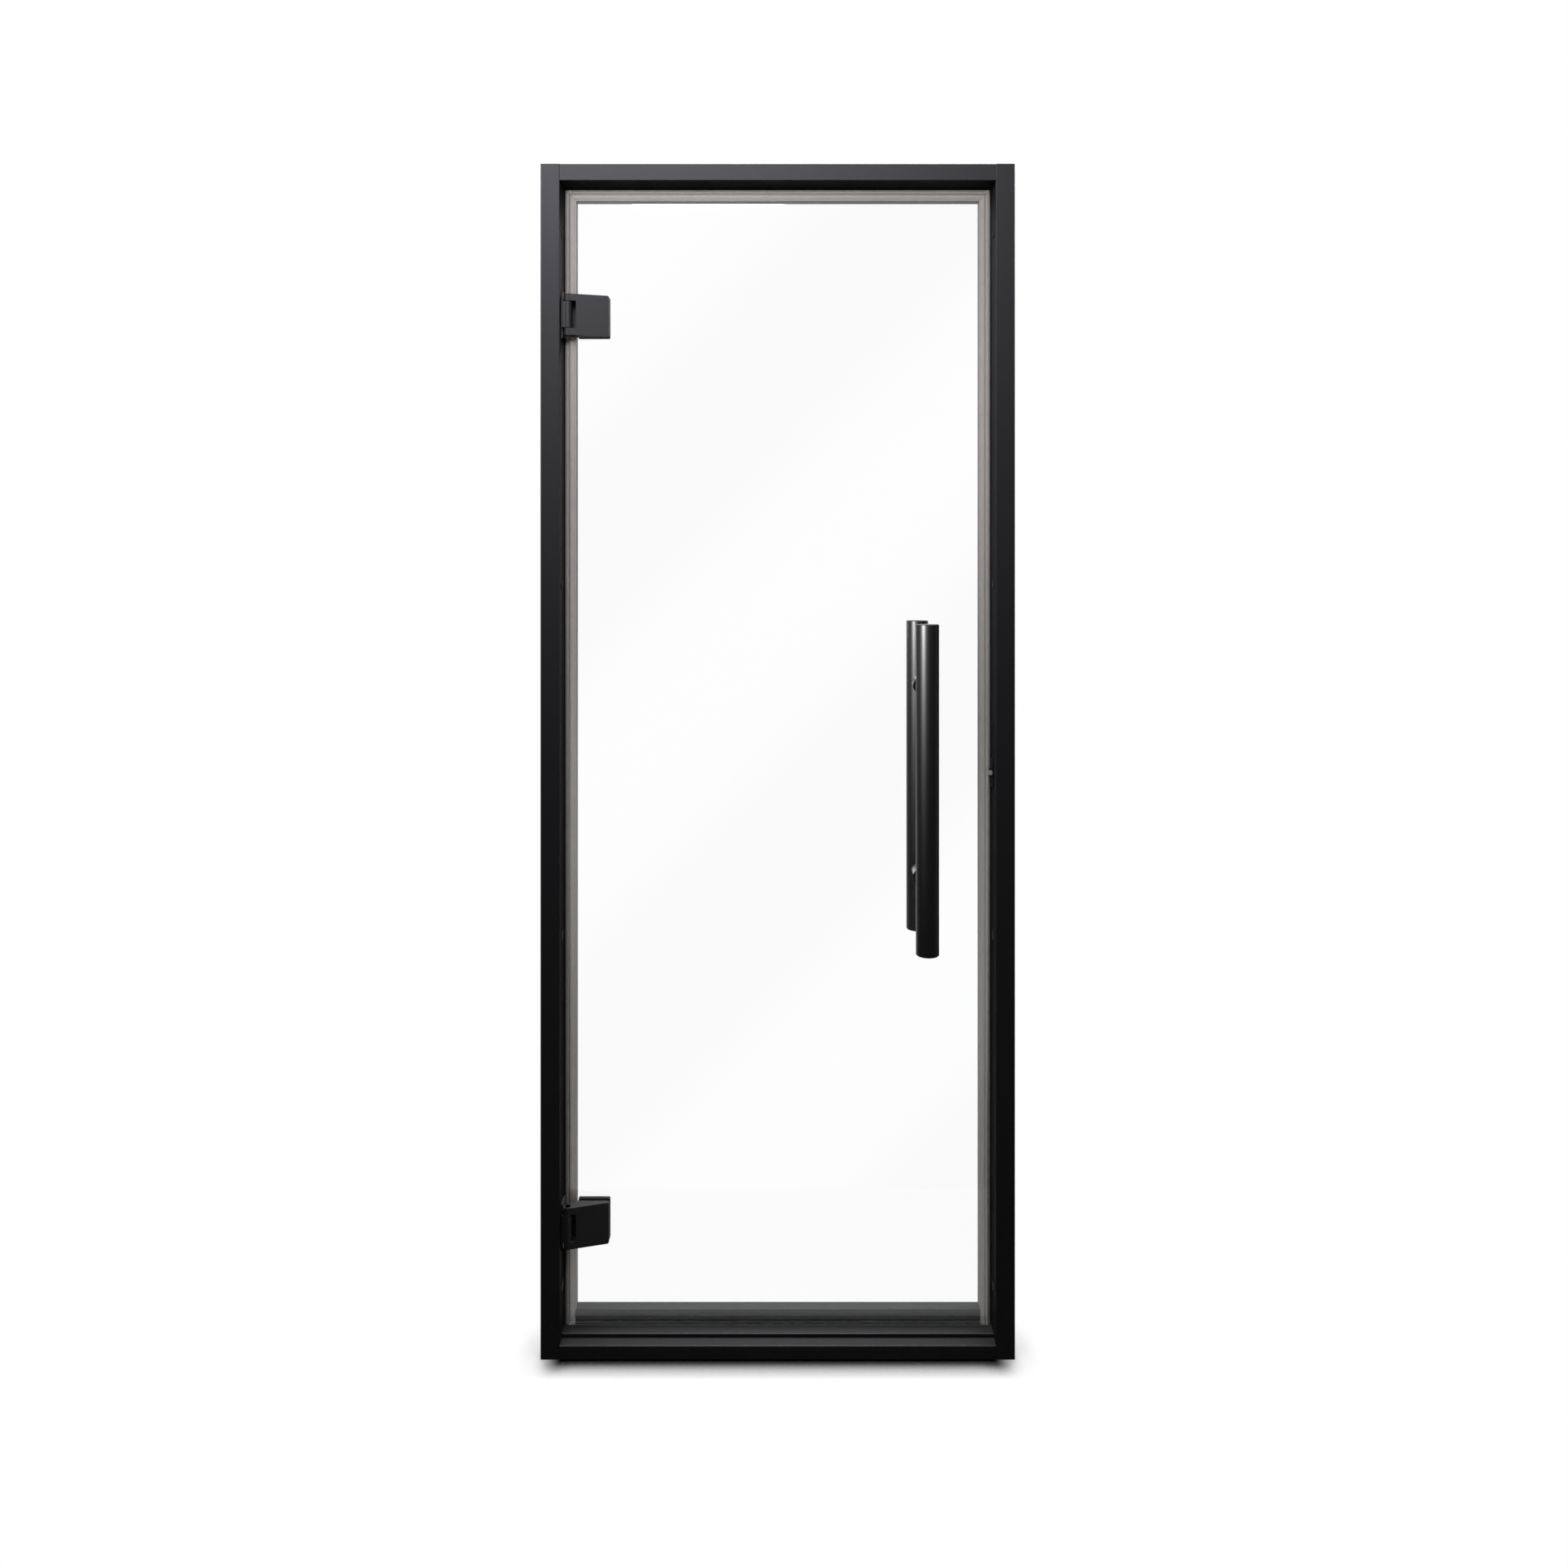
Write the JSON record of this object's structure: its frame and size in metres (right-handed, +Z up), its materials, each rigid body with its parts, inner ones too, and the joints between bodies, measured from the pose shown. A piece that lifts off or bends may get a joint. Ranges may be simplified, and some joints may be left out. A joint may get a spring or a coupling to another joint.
{
  "type": "framed glass door",
  "caption": "Framed glass door for a sauna or steam room: clear pane on clamp hinges, pull bar on each face, roller catch, black aluminium frame with a sealed stop and low sill.",
  "frame": {"origin": "on the floor, in the middle of the sill's base", "axes": "+X across the door from the hinges to the latch, +Y from the outside face to the inside, +Z up"},
  "size_m": [0.79, 0.1698, 1.99],
  "materials": {
    "black_aluminium": "satin",
    "black_hinge_metal": "satin",
    "bar_steel": "satin",
    "clear_glass": "gloss",
    "grey_silicone": "matte",
    "black_rubber": "matte",
    "zinc_steel": "satin",
    "stainless_steel": "satin",
    "black_steel": "satin",
    "grey_acetal": "satin",
    "white_nylon": "satin",
    "black_plastic": "matte"
  },
  "bodies": {
    "frame": {"hinge_jamb": "black_aluminium", "latch_jamb": "black_aluminium", "head_rail": "black_aluminium", "sill_rail": "black_aluminium", "corner_screws": "zinc_steel", "jamb_end_caps": "black_plastic", "fixing_caps": "black_plastic", "hinge_side_seal": "grey_silicone", "latch_side_seal": "grey_silicone", "head_seal": "grey_silicone", "sill_seal": "black_rubber", "upper_hinge_bracket": "black_hinge_metal", "upper_bracket_screws": "zinc_steel", "upper_backing_plate": "zinc_steel", "upper_hinge_pin": "black_steel", "lower_hinge_bracket": "black_hinge_metal", "lower_bracket_screws": "zinc_steel", "lower_backing_plate": "zinc_steel", "lower_hinge_pin": "black_steel", "catch_plate": "black_steel", "catch_housing": "black_plastic", "catch_spring": "zinc_steel", "catch_screws": "black_steel"},
    "leaf": {"glass_pane": "clear_glass", "upper_hinge_bushes": "black_plastic", "upper_front_clamp": "black_hinge_metal", "upper_rear_clamp": "black_hinge_metal", "upper_clamp_pads": "black_rubber", "upper_clamp_screws": "zinc_steel", "lower_hinge_bushes": "black_plastic", "lower_front_clamp": "black_hinge_metal", "lower_rear_clamp": "black_hinge_metal", "lower_clamp_pads": "black_rubber", "lower_clamp_screws": "zinc_steel", "outer_bar": "bar_steel", "inner_bar": "bar_steel", "outer_bar_caps": "bar_steel", "inner_bar_caps": "bar_steel", "outer_standoffs": "stainless_steel", "inner_standoffs": "stainless_steel", "handle_studs": "zinc_steel", "handle_washers": "black_rubber", "stud_sleeves": "white_nylon"},
    "plunger": {"catch_plunger": "black_plastic", "roller_pin": "zinc_steel"},
    "roller": {"catch_roller": "grey_acetal"}
  },
  "joints": [
    {"name": "leaf_swing", "type": "hinge", "parent": "frame", "child": "leaf", "pos_m": [-0.352, -0.016, 0.977], "axis": [0, 0, -1], "range_deg": [0, 110]},
    {"name": "catch_slide", "type": "slide", "parent": "frame", "child": "plunger", "axis": [1, 0, 0], "range_m": [0, 0.004], "stiffness_N_per_m": 3000, "springref_m": -0.004, "deforming": ["catch_spring"]},
    {"name": "roller_spin", "type": "hinge", "parent": "plunger", "child": "roller", "pos_m": [0.36, -0.00337, 0.972], "axis": [0, 0, 1], "continuous": true}
  ]
}
